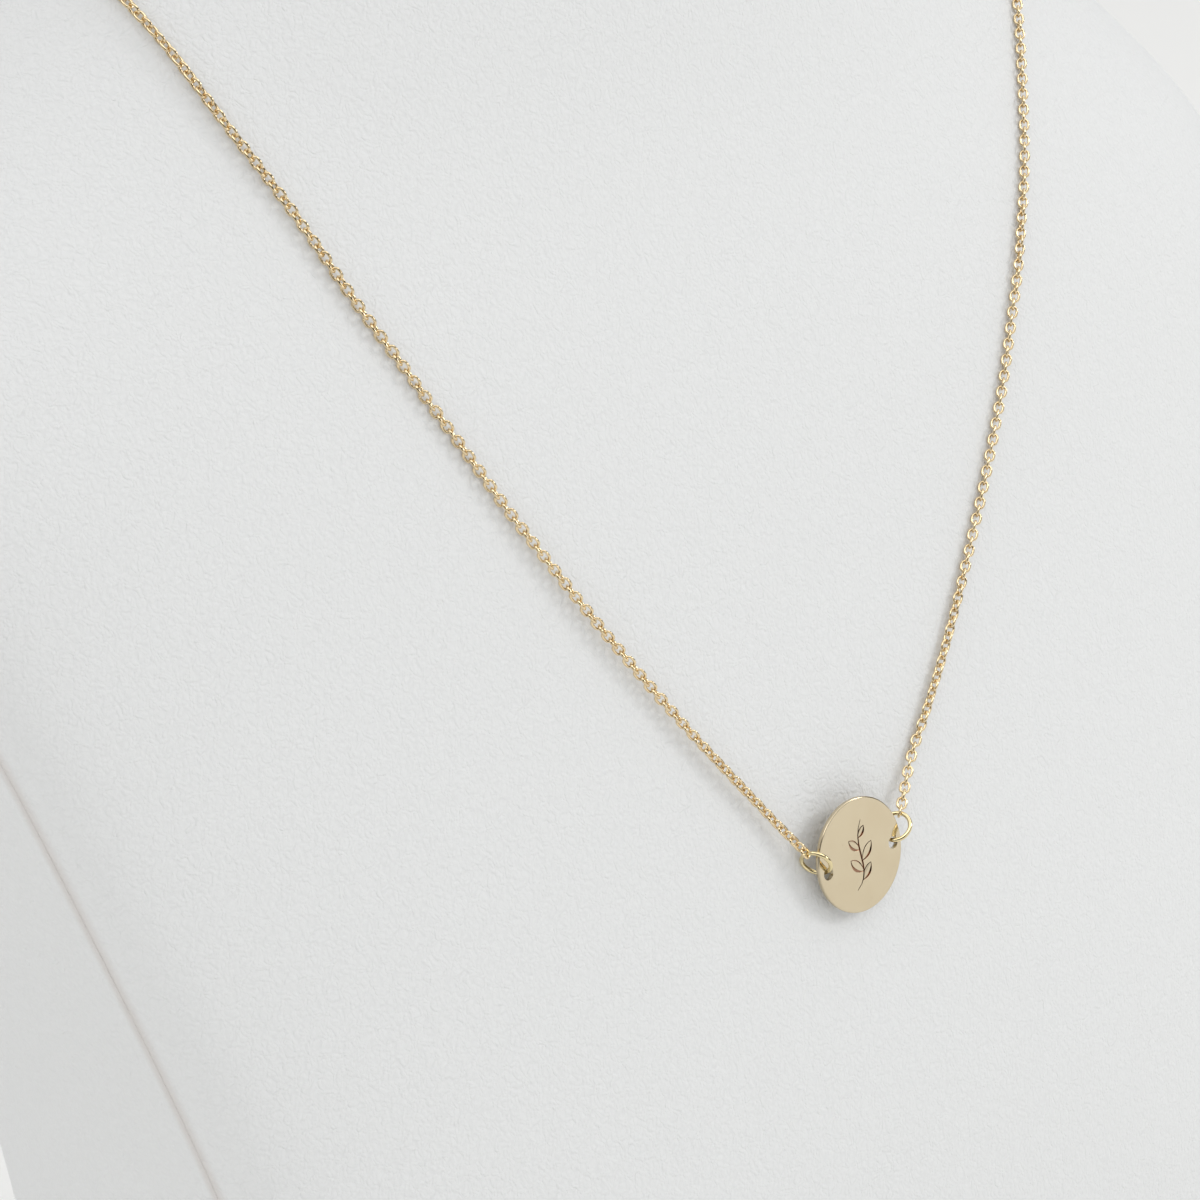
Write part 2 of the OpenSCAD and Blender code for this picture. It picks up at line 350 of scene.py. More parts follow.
# Share of red, green and blue that tarnish leaves of the gold's colour
TARNISHED = (0.72, 0.62, 0.52)


def gold_wear_group():
    """Fine scratches, polishing haze and a faint tarnish, shared by every gold piece."""
    name = "gold_wear"
    if name in bpy.data.node_groups:
        return bpy.data.node_groups[name]
    tree, given, out = new_group(
        name,
        [("Polish", "NodeSocketFloat", 0.12), ("Haze", "NodeSocketFloat", 0.08),
         ("Tarnish", "NodeSocketFloat", 0.2)],
        [("Roughness", "NodeSocketFloat"), ("Tarnish", "NodeSocketFloat"),
         ("Height", "NodeSocketFloat")])
    where = object_place(tree)
    haze = noise(tree, where, 900.0, 3.0)
    blotch = noise(tree, where, 350.0, 4.0, 0.6)
    scratch = noise(tree, where, 9000.0, 2.0)
    link(tree, maths(tree, "MULTIPLY_ADD", haze, given["Haze"], given["Polish"]), out["Roughness"])
    patch = map_range(tree, blotch, 0.42, 0.72, 0.0, 1.0)
    link(tree, maths(tree, "MULTIPLY", patch, given["Tarnish"]), out["Tarnish"])
    link(tree, maths(tree, "MULTIPLY_ADD", scratch, 0.25, haze), out["Height"])
    return tree


def gold_material(name, colour, polish, haze, tarnish, bump):
    """Polished pale gold; returns the material, its tree, its shader and its colour socket."""
    material, tree, shader = new_material(name)
    wear = node(tree, "ShaderNodeGroup",
                [("Polish", polish), ("Haze", haze), ("Tarnish", tarnish)],
                node_tree=gold_wear_group())
    dull = tuple(c * s for c, s in zip(colour, TARNISHED))
    tone = mix_colour(tree, wear.outputs["Tarnish"], rgba(colour), rgba(dull))
    link(tree, tone, shader.inputs["Base Color"])
    link(tree, wear.outputs["Roughness"], shader.inputs["Roughness"])
    shader.inputs["Metallic"].default_value = 1.0
    relief = node(tree, "ShaderNodeBump",
                  [("Height", wear.outputs["Height"]), ("Strength", 1.0), ("Distance", bump)])
    link(tree, relief.outputs[0], shader.inputs["Normal"])
    return material, tree, shader, tone


# Height of the leatherette's grain, and how deep the dip along the seam is beside it
GRAIN_BUMP = 0.038 * MM
SEAM_DIP = 1.3
# Colour along the seam: a warm dust tint that is partly painted shade of the seam's dip.
SEAM_DUST_AND_SHADE = (0.63, 0.575, 0.54, 1.0)


def leatherette_material(settings):
    """White leatherette: fine wavy pebble grain, painted shade in its creases, dust and painted
    shade at the seam.
    """
    material, tree, shader = new_material("leatherette")
    where = object_place(tree)
    size = settings.grain
    sway = node(tree, "ShaderNodeTexNoise",
                [("Vector", where), ("Scale", 0.35 / size), ("Detail", 0.0)])
    bent = node(tree, "ShaderNodeVectorMath",
                [(0, sway.outputs["Color"]), (1, (size * 2.2,) * 3), (2, where)],
                operation="MULTIPLY_ADD")
    pebble = node(tree, "ShaderNodeTexVoronoi",
                  [("Vector", bent.outputs[0]), ("Scale", 1 / size)], feature="F1")
    crease = map_range(tree, pebble.outputs["Distance"], 0.3, 0.85, 0.0, 1.0)
    fine = noise(tree, where, 2.4 / size, 1.0)
    height = maths(tree, "MULTIPLY_ADD", fine, 0.7, maths(tree, "SUBTRACT", 1.0, crease))
    wave = noise(tree, bent.outputs[0], 0.4 / size, 0.0)
    fold = map_range(tree, maths(tree, "ABSOLUTE", maths(tree, "SUBTRACT", wave, 0.5)),
                     0.0, 0.16, 0.0, 1.0)
    height = maths(tree, "MULTIPLY_ADD", fold, 0.7, height)
    away = node(tree, "ShaderNodeAttribute", attribute_name="seam_distance").outputs["Fac"]
    seam = node(tree, "ShaderNodeMapRange",
                [("Value", away), ("From Min", 0.0), ("From Max", settings.seam_band),
                 ("To Min", 1.0), ("To Max", 0.0)], interpolation_type="SMOOTHSTEP")
    seam = seam.outputs["Result"]
    height = maths(tree, "MULTIPLY_ADD", seam, -SEAM_DIP, height)
    relief = node(tree, "ShaderNodeBump",
                  [("Height", height), ("Strength", 1.0), ("Distance", GRAIN_BUMP)])
    link(tree, relief.outputs[0], shader.inputs["Normal"])
    # Painted shade: the colour darkens slightly in the creases between the pebbles.
    crease_shaded = mix_colour(tree, maths(tree, "MULTIPLY", crease, 0.1), rgba(settings.colour),
                         rgba(settings.colour, 0.75))
    # Along the seam the colour turns towards the dust tint, which also paints the seam's shade.
    link(tree, mix_colour(tree, maths(tree, "MULTIPLY", seam, 0.55), crease_shaded, SEAM_DUST_AND_SHADE),
         shader.inputs["Base Color"])
    link(tree, map_range(tree, fine, 0.3, 0.7, 0.5, 0.62), shader.inputs["Roughness"])
    shader.inputs["Specular IOR Level"].default_value = 0.35
    return material


# Depths under the disc's face at which the painted shade in the engraved strokes sets in and ends,
# and how far from the disc's middle it reaches; each fades between its two values
DARK_FROM = (0.015 * MM, 0.035 * MM)
DARK_TO = (0.125 * MM, 0.14 * MM)
DARK_REACH = (3.9 * MM, 4.0 * MM)


def disc_material(settings):
    """Polished disc, with painted shade down in the engraved strokes and in a few tiny pits."""
    material, tree, shader, tone = gold_material(
        "disc_gold", settings.colour, 0.09, 0.05, 0.12, DISC_BUMP)
    low = disc_frame().inverted()
    where = node(tree, "ShaderNodeMapping",
                 [("Vector", object_place(tree)), ("Location", low.to_translation()),
                  ("Rotation", low.to_euler())])
    depth = node(tree, "ShaderNodeSeparateXYZ", [(0, where.outputs[0])]).outputs["Z"]
    top = DISC_THICK / 2
    # Painted shade for the engraved strokes: the gold darkens between these depths, inside the
    # reach.
    below = map_range(tree, depth, top - DARK_FROM[1], top - DARK_FROM[0], 1.0, 0.0)
    above = map_range(tree, depth, top - DARK_TO[1], top - DARK_TO[0], 0.0, 1.0)
    spot = node(tree, "ShaderNodeVectorMath", [(0, where.outputs[0]), (1, (1, 1, 0))],
                operation="MULTIPLY")
    inside = node(tree, "ShaderNodeVectorMath", [(0, spot.outputs[0])], operation="LENGTH")
    inner = map_range(tree, inside.outputs["Value"], *DARK_REACH, 1.0, 0.0)
    dark = maths(tree, "MULTIPLY", maths(tree, "MULTIPLY", below, above), inner)
    # Tiny pits get painted shade too, a little darker than the strokes.
    pits = node(tree, "ShaderNodeTexVoronoi",
                [("Vector", where.outputs[0]), ("Scale", 620.0)], feature="F1")
    pit = map_range(tree, pits.outputs["Distance"], 0.035, 0.05, 0.6, 0.0)
    cut = mix_colour(tree, dark, tone, rgba(settings.engraving_shade))
    link(tree, mix_colour(tree, pit, cut, rgba(settings.engraving_shade, 0.8)),
         shader.inputs["Base Color"])
    return material


# ---- the bust ----

# A face that looks into the seam reaches further than this to both sides and stands upright
SEAM_HALF = 50 * MM
UPRIGHT = 0.7


def is_seam_face(face):
    """True for the broad faces that look into the seam between the halves."""
    xs = [v.co.x for v in face.verts]
    return min(xs) < -SEAM_HALF and max(xs) > SEAM_HALF and abs(face.normal.z) < UPRIGHT


def leather_cover(name, half, towards, settings):
    """One half of the bust in leatherette, with its edges rolled into the seam."""
    piece = merged_copy(half, name)
    begin_edit(piece)
    bpy.ops.mesh.tris_convert_to_quads(face_threshold=math.radians(40),
                                       shape_threshold=math.radians(180))
    pick(piece, "FACE", lambda f: abs(f.normal.z) > 0.999 and f.calc_area() > 0)
    bpy.ops.mesh.dissolve_faces()
    tree = seam_tree(piece)
    pick(piece, "FACE", is_seam_face)
    bpy.ops.transform.translate(value=(0, towards * settings.seam_close, 0))
    pick(piece, "EDGE", lambda e: len(e.link_faces) == 2
         and is_seam_face(e.link_faces[0]) != is_seam_face(e.link_faces[1]))
    bpy.ops.mesh.bevel(offset=settings.seam_roll, segments=3, affect="EDGES")
    bpy.ops.mesh.select_all(action="DESELECT")
    end_edit()
    add_modifier(piece, "SUBSURF", levels=2, render_levels=2)
    smooth(piece)
    away = piece.data.attributes.new("seam_distance", "FLOAT", "POINT")
    for v in piece.data.vertices:
        away.data[v.index].value = tree.find_nearest(v.co)[3]
    return piece


def seam_tree(piece):
    """The side of an open half that looks into the seam, to measure how far a point is from it."""
    points, faces = [], []
    for face in bmesh.from_edit_mesh(piece.data).faces:
        if is_seam_face(face):
            faces.append(range(len(points), len(points) + len(face.verts)))
            points += [v.co.copy() for v in face.verts]
    return BVHTree.FromPolygons(points, [list(f) for f in faces])


class NECKLACE_OT_bust(bpy.types.Operator):
    """Covers both halves of the bust in leatherette"""
    bl_idname = "necklace.bust"
    bl_label = "Bust"

    def execute(self, context):
        settings = context.scene.necklace_bust
        leather = leatherette_material(settings)
        for name, half, towards in (("leather_front", "bust_front", 1),
                                    ("leather_back", "bust_back", -1)):
            piece = leather_cover(name, half, towards, settings)
            finish_piece(piece, leather, "leatherette", half)
        return {"FINISHED"}


# ---- the disc ----


def disc_frame():
    """Axes of the disc: X along its holes, Y up its face, Z out of its front."""
    normal = Vector((0, -math.cos(DISC_LEAN), math.sin(DISC_LEAN)))
    up = Vector((0, math.sin(DISC_LEAN), math.cos(DISC_LEAN)))
    along = math.cos(DISC_ROLL) * Vector((1, 0, 0)) + math.sin(DISC_ROLL) * up
    return axes(along, normal, middle("disc"))


class NECKLACE_OT_disc(bpy.types.Operator):
    """Makes the engraved disc with its edges broken as by polishing"""
    bl_idname = "necklace.disc"
    bl_label = "Disc"

    def execute(self, context):
        settings = context.scene.necklace_disc
        piece = merged_copy("disc", "pendant_disc")
        begin_edit(piece)
        bpy.ops.mesh.dissolve_limited(angle_limit=math.radians(0.5))
        end_edit()
        self.weigh_edges(piece, settings)
        add_modifier(piece, "BEVEL", width=settings.rim, segments=4, limit_method="WEIGHT",
                     face_strength_mode="FSTR_ALL")
        smooth(piece)
        add_modifier(piece, "WEIGHTED_NORMAL", mode="FACE_AREA", weight=100,
                     use_face_influence=True)
        finish_piece(piece, disc_material(settings), "gold", "disc")
        return {"FINISHED"}

    def weigh_edges(self, piece, settings):
        """Gives the rim the full bevel and every other sharp edge a fine one."""
        centre = middle("disc")
        rim = max((v.co - centre).length for v in piece.data.vertices) - 0.1 * MM
        bm = bmesh.new()
        bm.from_mesh(piece.data)
        weight = bm.edges.layers.float.new("bevel_weight_edge")
        for e in bm.edges:
            if e.calc_face_angle(0) > math.radians(40):
                outer = all((v.co - centre).length > rim for v in e.verts)
                e[weight] = 1 if outer else settings.edge / settings.rim
        bm.to_mesh(piece.data)
        bm.free()


# ---- rings and clasp ----

# Opening of a jump ring's butt joint in degrees
RING_JOINT = 1.0

# The clasp's body and bolt in degrees, where the thumb tab stands, and how much thinner
# the bolt is than the body
BODY_START, BODY_TURN = 124, 292
BOLT_START, BOLT_TURN = 42, 96
TAB_AT = math.radians(146)
BOLT_THINNER = 0.36 * MM

def bent_wire(name, od, wire, turn=360.0, start=0.0, steps=96, sides=24):
    """Round wire bent in the XY plane; an open turn gets flat ends."""
    radius = (od - wire) / 2
    bpy.ops.object.select_all(action="DESELECT")
    bpy.ops.mesh.primitive_circle_add(vertices=sides, radius=wire / 2, location=(radius, 0, 0),
                                      rotation=(math.pi / 2, 0, 0))
    piece = bpy.context.object
    piece.name = piece.data.name = name
    bpy.ops.object.transform_apply(location=True, rotation=True, scale=True)
    begin_edit(piece)
    bpy.ops.mesh.spin(steps=steps, angle=math.radians(turn), center=(0, 0, 0), axis=(0, 0, -1))
    bpy.ops.mesh.select_all(action="SELECT")
    bpy.ops.mesh.remove_doubles(threshold=MERGE)
    bpy.ops.mesh.fill_holes(sides=0)
    bpy.ops.mesh.select_all(action="SELECT")
    bpy.ops.mesh.normals_make_consistent(inside=False)
    end_edit()
    only(piece)
    bpy.ops.object.shade_smooth_by_angle(angle=math.radians(40))
    place(piece, Matrix.Rotation(math.radians(start), 4, "Z"))
    return piece


class NECKLACE_OT_rings(bpy.types.Operator):
    """Bends the two jump rings, each closed with a fine butt joint"""
    bl_idname = "necklace.rings"
    bl_label = "Jump rings"

    def execute(self, context):
        settings = context.scene.necklace_wire
        gold = gold_material("ring_gold", settings.colour, 0.05, 0.06, 0.25, WIRE_BUMP)[0]
        for name in ("jump_ring_left", "jump_ring_right"):
            piece = bent_wire("wire_" + name, settings.ring_od, settings.ring_wire,
                              turn=360 - RING_JOINT)
            place(piece, axes(Vector((0, 1, 0)), flat_axis(name), middle(name)))
            finish_piece(piece, gold, "gold", name)
        return {"FINISHED"}


class NECKLACE_OT_clasp(bpy.types.Operator):
    """Makes the spring ring clasp with its bolt, thumb tab and eye, and the end ring"""
    bl_idname = "necklace.clasp"
    bl_label = "Clasp and end ring"

    def execute(self, context):
        settings = context.scene.necklace_wire
        gold = gold_material("clasp_gold", settings.colour, 0.15, 0.1, 0.25, WIRE_BUMP)[0]
        od, tube = settings.clasp_od, settings.clasp_tube
        body = bent_wire("body", od, tube, turn=BODY_TURN, start=BODY_START)
        add_modifier(body, "BEVEL", width=0.12 * MM, segments=3, limit_method="ANGLE",
                     angle_limit=math.radians(60))
        bolt = bent_wire("bolt", od - BOLT_THINNER, tube - BOLT_THINNER,
                         turn=BOLT_TURN, start=BOLT_START, steps=24)
        eye_x = (od + settings.eye_od) / 2 - 0.25 * MM
        eye = bent_wire("eye", settings.eye_od, settings.end_wire)
        place(eye, Matrix.Translation((-eye_x, 0, 0)))
        tab = self.thumb_tab(od, tube)
        clasp = join([body, bolt, eye, tab], "spring_ring_clasp")
        low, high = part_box("clasp")
        at = Vector((high.x - od / 2, (low.y + high.y) / 2, (low.z + high.z) / 2))
        place(clasp, axes(Vector((1, 0, 0)), -flat_axis("clasp"), at))
        finish_piece(clasp, gold, "gold", "clasp")
        ring = bent_wire("wire_end_ring", settings.end_od, settings.end_wire)
        place(ring, axes(Vector((1, 0, 0)), flat_axis("end_ring"), middle("end_ring")))
        finish_piece(ring, gold, "gold", "end_ring")
        return {"FINISHED"}

    def thumb_tab(self, od, tube):
        """The small round knob that slides the bolt back."""
        reach = od / 2 - tube / 2
        at = Vector((math.cos(TAB_AT), math.sin(TAB_AT), 0)) * reach
        at += Vector((0, 0, tube * 0.52))
        bpy.ops.object.select_all(action="DESELECT")
        bpy.ops.mesh.primitive_cylinder_add(vertices=24, radius=0.3 * MM, depth=0.32 * MM,
                                            location=at)
        tab = bpy.context.object
        bpy.ops.object.transform_apply(location=True, rotation=True, scale=True)
        begin_edit(tab)
        top = at.z + 0.15 * MM
        pick(tab, "FACE", lambda f: f.calc_center_median().z > top)
        bpy.ops.mesh.inset(thickness=0.08 * MM)
        bpy.ops.transform.translate(value=(0, 0, 0.05 * MM))
        end_edit()
        add_modifier(tab, "BEVEL", width=0.03 * MM, segments=2, limit_method="ANGLE",
                     angle_limit=math.radians(40))
        smooth(tab)
        return tab


# ---- the chain ----

# The CAD strand is a tube with this many sides
TUBE_SIDES = 8

# Points of the smooth curve for each stretch of the path
CURVE_STEPS = 12

# How far the middles of the first and the last link lie past the ends of the strand's path
LEAD = 0.0825 * MM
TAIL = 0.0325 * MM

# Slack between two links, air under the links that lie on the leatherette, and the length
# over which each end of a strand comes down to it
SLACK = 0.005 * MM
AIR = 0.06 * MM
FREE_END = 9 * MM

# The left strand's lift holds for the first distance and eases out over the second
LIFT_HOLDS = 32 * MM
LIFT_EASES = 30 * MM


def strand_path(tube, start):
    """Middle of a CAD strand from its end near a point, as the middles of its rings."""
    bm = bmesh.new()
    bm.from_mesh(NODES[tube].data)
    bmesh.ops.remove_doubles(bm, verts=bm.verts, dist=MERGE)
    bmesh.ops.dissolve_limit(bm, angle_limit=math.radians(0.01), verts=[], edges=[])
    bm.verts.index_update()
    ring = sorted(bm.verts, key=lambda v: (v.co - start).length)[:TUBE_SIDES]
    seen = set(ring)
    path = []
    while ring:
        path.append(sum((v.co for v in ring), Vector()) / len(ring))
        ring = sorted({e.other_vert(v) for v in ring for e in v.link_edges} - seen,
                      key=lambda v: v.index)
        seen.update(ring)
    bm.free()
    return path


def curve_point(path, i, t):
    """Point between two points of a path, on a smooth curve through them all."""
    last = len(path) - 1
    a = path[i - 1] if i > 0 else 2 * path[0] - path[1]
    b, c = path[i], path[i + 1]
    d = path[i + 2] if i + 2 <= last else 2 * path[last] - path[last - 1]
    return 0.5 * (2 * b + (c - a) * t + (2 * a - 5 * b + 4 * c - d) * t ** 2
                  + (3 * b - a - 3 * c + d) * t ** 3)


def resample(path, count):
    """Evenly spaced points along a dense path."""
    along = [0.0]
    for a, b in zip(path, path[1:]):
        along.append(along[-1] + (b - a).length)
    points, i = [], 0
    for k in range(count):
        wanted = along[-1] * k / (count - 1)
        while i < len(path) - 2 and along[i + 1] < wanted:
            i += 1
        t = (wanted - along[i]) / (along[i + 1] - along[i])
        points.append(path[i].lerp(path[i + 1], t))
    return points, along[-1]


def cover_tree():
    """Both leather covers as one search tree."""
    points, faces = [], []
    for name in ("leather_front", "leather_back"):
        mesh = bpy.data.objects[name].data
        base = len(points)
        points += [v.co.copy() for v in mesh.vertices]
        faces += [[base + k for k in p.vertices] for p in mesh.polygons]
    return BVHTree.FromPolygons(points, faces)


def ease(t):
    t = min(max(t, 0.0), 1.0)
    return t * t * (3 - 2 * t)


# How far each strand is twisted at some distances from its jump ring, in mm and degrees
TWISTS = {
    "links_left": ((0, -27), (14, -24), (24, -2), (60, 2), (85, -12), (110, -20), (150, 0),
                   (180, 0), (216, 45)),
    "links_right": ((0, 0), (7, 4), (11, 40), (20, 42), (31, 4), (58, 0), (65, 22), (75, 0),
                    (165, 0), (216, 84)),
}


def twist(name, along):
    """Extra roll of a strand's links at a distance along it, in radians."""
    places, turns = zip(*TWISTS[name])
    return math.radians(np.interp(along / MM, places, turns))


class NECKLACE_OT_chain(bpy.types.Operator):
    """Links both strands of cable chain and lays them on the leatherette"""
    bl_idname = "necklace.chain"
    bl_label = "Chain"

    def execute(self, context):
        settings = context.scene.necklace_chain
        gold = gold_material("chain_gold", settings.colour, 0.04, 0.06, 0.3, WIRE_BUMP)[0]
        self.leather = cover_tree()
        self.draw = random.Random(settings.seed)
        for name, tube, ring in (("links_left", "chain_left", "jump_ring_left"),
                                 ("links_right", "chain_right", "jump_ring_right")):
            piece = self.strand(name, tube, middle(ring), settings)
            finish_piece(piece, gold, "gold", tube)
        return {"FINISHED"}

    def one_link(self, settings):
        """An oval link, its length along X and its wire in the XY plane."""
        wide = (settings.link_width - settings.wire) / 2
        stretch = (settings.link_length - settings.link_width) / 2
        bpy.ops.object.select_all(action="DESELECT")
        bpy.ops.mesh.primitive_torus_add(major_segments=16, minor_segments=6,
                                         major_radius=wide, minor_radius=settings.wire / 2)
        piece = bpy.context.object
        begin_edit(piece)
        for side in (-1, 1):
            pick(piece, "VERT", lambda v: v.co.x * side > 0.05 * MM)
            bpy.ops.transform.translate(value=(side * stretch, 0, 0))
        end_edit()
        smooth(piece)
        return piece

    def strand(self, name, tube, start, settings):
        """All links of one strand as one piece."""
        route = self.route(name, tube, start, settings)
        pitch = settings.link_length - 2 * settings.wire - SLACK
        count = round(resample(route, 2)[1] / pitch) + 1
        points = resample(route, count)[0]
        pattern = self.one_link(settings)
        links = []
        for i, point in enumerate(points):
            way = (points[min(i + 1, count - 1)] - points[max(i - 1, 0)]).normalized()
            roll = (math.radians(45 + 90 * ((i + 1) % 2)) + twist(name, i * pitch)
                    + self.draw.gauss(0, settings.wobble))
            links.append(self.copied(pattern, point, way, roll))
        bpy.data.objects.remove(pattern)
        piece = join(links, name)
        only(piece)
        bpy.ops.object.transform_apply(location=True, rotation=True, scale=True)
        return piece

    def copied(self, pattern, point, way, roll):
        """A copy of the link at a point, its length along a way and rolled about it."""
        normal = self.leather.find_nearest(point)[1]
        side = normal - normal.dot(way) * way
        side = Matrix.Rotation(roll, 3, way) @ side.normalized()
        copy = pattern.copy()
        copy.data = pattern.data.copy()
        bpy.context.scene.collection.objects.link(copy)
        copy.matrix_world = (Matrix.Translation(point)
                             @ Matrix((way, side, way.cross(side))).transposed().to_4x4())
        return copy

    def route(self, name, tube, start, settings):
        """A smooth curve through the middle of a CAD strand, laid on the leatherette."""
        rough = strand_path(tube, start)
        rough[0] += (rough[0] - rough[1]).normalized() * LEAD
        rough[-1] += (rough[-1] - rough[-2]).normalized() * TAIL
        dense = [curve_point(rough, i, k / CURVE_STEPS)
                 for i in range(len(rough) - 1) for k in range(CURVE_STEPS)] + [rough[-1]]
        length = resample(dense, 2)[1]
        return [self.lay(name, p, length * i / (len(dense) - 1), length, settings)
                for i, p in enumerate(dense)]

    def lay(self, name, point, along, length, settings):
        """Moves a point of the strand so that its links lie just above the leatherette."""
        nearest, normal = self.leather.find_nearest(point)[:2]
        high = (point - nearest).dot(normal)
        lean = math.radians(45) - abs(twist(name, along))
        half = (settings.link_width - settings.wire) / 2
        rest = half * math.cos(lean) + settings.wire / 2 + AIR
        if name == "links_left":
            rest += settings.lift * (1 - ease((along - LIFT_HOLDS) / LIFT_EASES))
        held = ease(min(along, length - along) / FREE_END)
        drop = (high - rest) * held if high > rest else high - rest
        return point - normal * drop


# ---- stage ----

DISC_AT = Vector((0, -53, 97)) * MM
CAMERA_AT = Vector((-257.02, -296.74, 245.65)) * MM
CAMERA_TURN = (math.radians(71.096), 0, math.radians(-42.264))
CAMERA_LENS = 112.5

# Brightness of the room as the camera sees it
BACKDROP = 0.84

# Where the lights stand, how wide they are, what they look at, and the fill's share of the
# key light's power
KEY_AT = Vector((0.83, -0.7, 0.63))
FILL_AT = Vector((-0.9, 0.16, 0.89))
KEY_SIZE = 0.32
FILL_SIZE = 0.9
LIT_POINT = Vector((0, 0, 0.12))
FILL_SHARE = 0.4

# The dark card: its width and height, how high its middle is, how far it is from the disc
CARD_SIZE = (0.46, 0.36)
CARD_HIGH = 0.2
CARD_AWAY = 0.5


def band(tree, value, rise, fall, amount):
    """An amount between two slopes of a value, and nothing outside them."""
    return maths(tree, "MULTIPLY", map_range(tree, value, *rise, 0.0, amount),
                 map_range(tree, value, *fall, 1.0, 0.0))


def world_light(settings):
    """A pale room, brighter overhead; the gold also sees its dark cornice and light ceiling."""
    world = bpy.data.worlds.new("pale_room")
    bpy.context.scene.world = world
    world.use_nodes = True
    tree = world.node_tree
    tree.nodes.clear()
    way = tree.nodes.new("ShaderNodeTexCoord").outputs["Generated"]
    across, behind, up = node(tree, "ShaderNodeSeparateXYZ", [(0, way)]).outputs
    high = map_range(tree, up, -0.1, 0.9, 0.5, 1.08)
    dim = map_range(tree, behind, 0.3, 0.9, 1.0, 0.2)
    cornice = band(tree, up, (0.38, 0.44), (0.58, 0.64), -0.92)
    ceiling = band(tree, up, (0.64, 0.7), (0.84, 0.92), 1.2)
    bands = maths(tree, "ADD", maths(tree, "ADD", cornice, ceiling), 1.0)
    beside = maths(tree, "MULTIPLY",
                   map_range(tree, maths(tree, "ABSOLUTE", across), 0.72, 0.8, 0.0, -0.9),
                   map_range(tree, up, 0.36, 0.44, 1.0, 0.0))
    bands = maths(tree, "MULTIPLY_ADD", bands, beside, bands)
    dim = maths(tree, "MULTIPLY", dim, bands)
    level = maths(tree, "MULTIPLY", high, settings.room)
    matt, gold, seen = (
        node(tree, "ShaderNodeBackground",
             [("Color", (1.0, 1.0, 0.995, 1.0)), ("Strength", strength)]).outputs[0]
        for strength in (level, maths(tree, "MULTIPLY", level, dim), BACKDROP))
    rays = tree.nodes.new("ShaderNodeLightPath").outputs
    lit = node(tree, "ShaderNodeMixShader", [(0, rays["Is Glossy Ray"]), (1, matt), (2, gold)])
    back = node(tree, "ShaderNodeMixShader",
                [(0, rays["Is Camera Ray"]), (1, lit.outputs[0]), (2, seen)])
    out = tree.nodes.new("ShaderNodeOutputWorld")
    link(tree, back.outputs[0], out.inputs[0])


def soft_light(name, at, target, size, power):
    """A square softbox that looks at a point."""
    lamp = bpy.data.lights.new(name, "AREA")
    lamp.shape = "SQUARE"
    lamp.size = size
    lamp.energy = power
    holder = bpy.data.objects.new(name, lamp)
    bpy.context.scene.collection.objects.link(holder)
    holder.matrix_world = axes(Vector((0, 0, 1)), at - target, at)


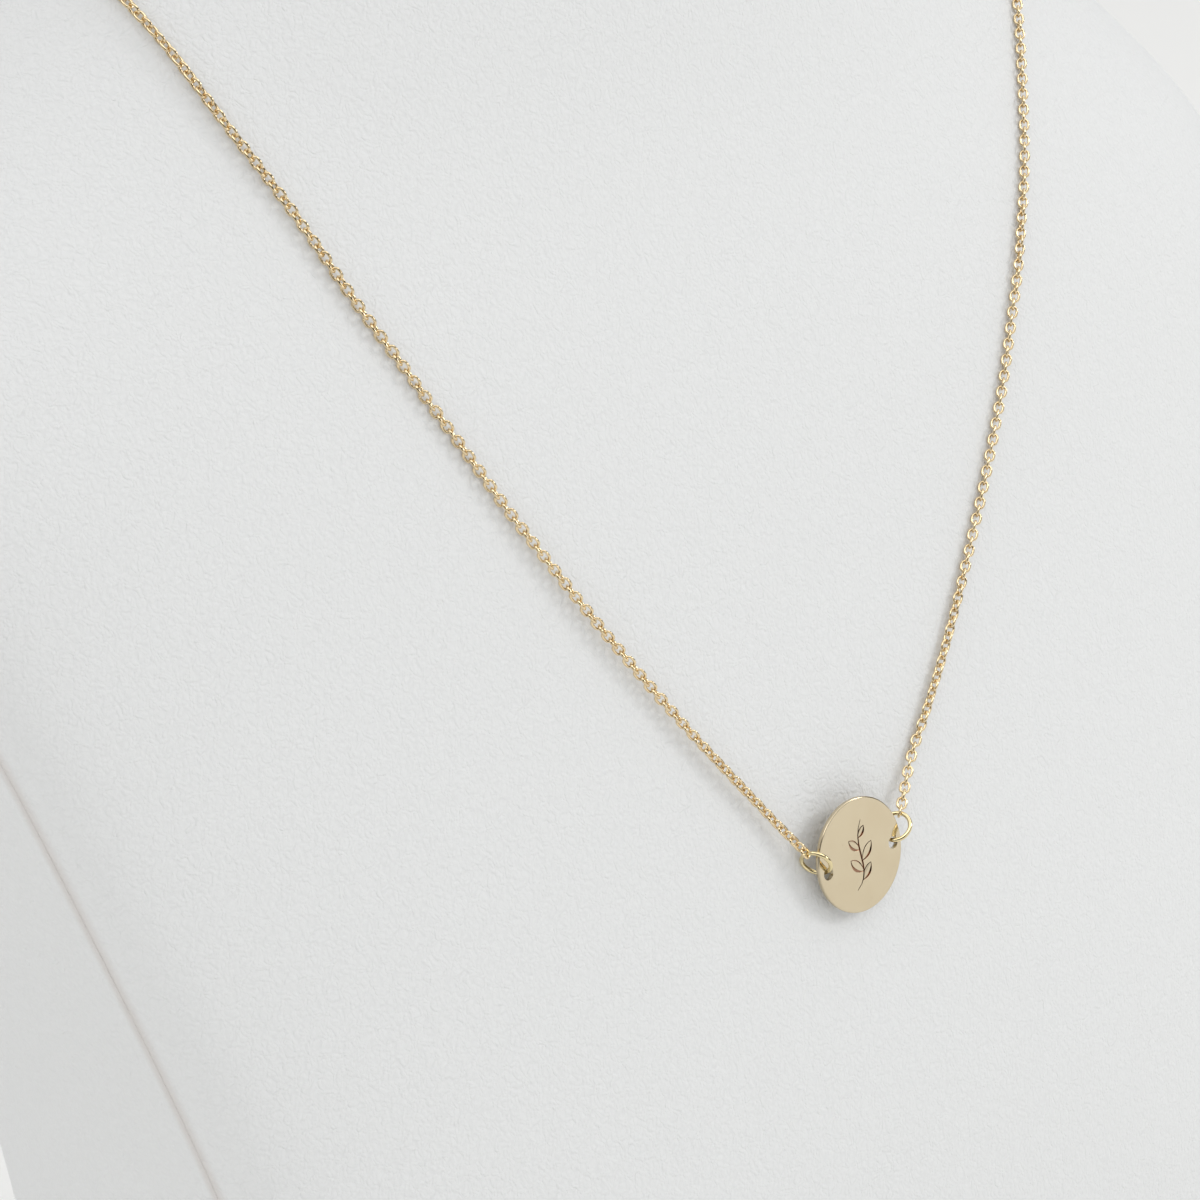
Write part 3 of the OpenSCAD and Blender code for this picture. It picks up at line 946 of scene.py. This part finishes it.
class NECKLACE_OT_stage(bpy.types.Operator):
    """Lays the floor and sets the lights and the camera"""
    bl_idname = "necklace.stage"
    bl_label = "Floor, lights and camera"

    def execute(self, context):
        settings = context.scene.necklace_stage
        bpy.ops.object.select_all(action="DESELECT")
        bpy.ops.mesh.primitive_plane_add(size=40)
        floor = bpy.context.object
        floor.name = "floor"
        material, tree, shader = new_material("pale_floor")
        speck = noise(tree, object_place(tree), 40.0, 3.0)
        link(tree, mix_colour(tree, speck, rgba(settings.floor, 0.99), rgba(settings.floor)),
             shader.inputs["Base Color"])
        shader.inputs["Roughness"].default_value = 0.7
        floor.data.materials.append(material)
        soft_light("key", KEY_AT, LIT_POINT, KEY_SIZE, settings.key)
        soft_light("fill", FILL_AT, LIT_POINT, FILL_SIZE, settings.key * FILL_SHARE)
        self.dark_card()
        world_light(settings)
        data = bpy.data.cameras.new("camera")
        data.sensor_width = 36
        data.lens = CAMERA_LENS
        camera = bpy.data.objects.new("camera", data)
        context.scene.collection.objects.link(camera)
        camera.location = CAMERA_AT
        camera.rotation_euler = CAMERA_TURN
        context.scene.camera = camera
        context.scene.view_settings.view_transform = "Standard"
        return {"FINISHED"}

    def dark_card(self):
        """A black card round the camera, which shows only in the gold."""
        way = Vector((CAMERA_AT.x, CAMERA_AT.y - DISC_AT.y, 0)).normalized()
        bpy.ops.object.select_all(action="DESELECT")
        bpy.ops.mesh.primitive_grid_add(x_subdivisions=2, y_subdivisions=2, size=1)
        card = bpy.context.object
        card.name = "dark_card"
        card.matrix_world = (axes(Vector((0, 0, 1)).cross(way), -way,
                                  Vector((0, DISC_AT.y, CARD_HIGH)) + way * CARD_AWAY)
                             @ Matrix.Diagonal((*CARD_SIZE, 1, 1)))
        bpy.ops.object.transform_apply(location=True, rotation=True, scale=True)
        material, tree, shader = new_material("black_card")
        speck = noise(tree, object_place(tree), 60.0)
        link(tree, mix_colour(tree, speck, (0.015, 0.015, 0.015, 1), (0.02, 0.02, 0.02, 1)),
             shader.inputs["Base Color"])
        card.data.materials.append(material)
        card.visible_camera = card.visible_diffuse = card.visible_shadow = False


class NECKLACE_PT_panel(bpy.types.Panel):
    """Lists the pieces and their settings"""
    bl_idname = "NECKLACE_PT_panel"
    bl_label = "Necklace"
    bl_space_type = "VIEW_3D"
    bl_region_type = "UI"
    bl_category = "Necklace"

    def draw(self, context):
        for operator, settings in STEPS:
            box = self.layout.box()
            box.operator(operator.bl_idname)
            group = getattr(context.scene, settings)
            for label in group.__annotations__:
                box.prop(group, label)


STEPS = [
    (NECKLACE_OT_stage, "necklace_stage"),
    (NECKLACE_OT_bust, "necklace_bust"),
    (NECKLACE_OT_disc, "necklace_disc"),
    (NECKLACE_OT_rings, "necklace_wire"),
    (NECKLACE_OT_clasp, "necklace_wire"),
    (NECKLACE_OT_chain, "necklace_chain"),
]

SETTINGS = {
    "necklace_bust": BustSettings,
    "necklace_disc": DiscSettings,
    "necklace_wire": WireSettings,
    "necklace_chain": ChainSettings,
    "necklace_stage": StageSettings,
}


def register():
    for name, group in SETTINGS.items():
        bpy.utils.register_class(group)
        setattr(bpy.types.Scene, name, PointerProperty(type=group))
    for operator, _ in STEPS:
        bpy.utils.register_class(operator)
    bpy.utils.register_class(NECKLACE_PT_panel)


def unregister():
    bpy.utils.unregister_class(NECKLACE_PT_panel)
    for operator, _ in reversed(STEPS):
        bpy.utils.unregister_class(operator)
    for name, group in reversed(SETTINGS.items()):
        delattr(bpy.types.Scene, name)
        bpy.utils.unregister_class(group)


def main():
    register()
    bpy.ops.necklace.stage()
    bpy.ops.necklace.bust()
    bpy.ops.necklace.disc()
    bpy.ops.necklace.rings()
    bpy.ops.necklace.clasp()
    bpy.ops.necklace.chain()


if __name__ == "__main__":
    main()
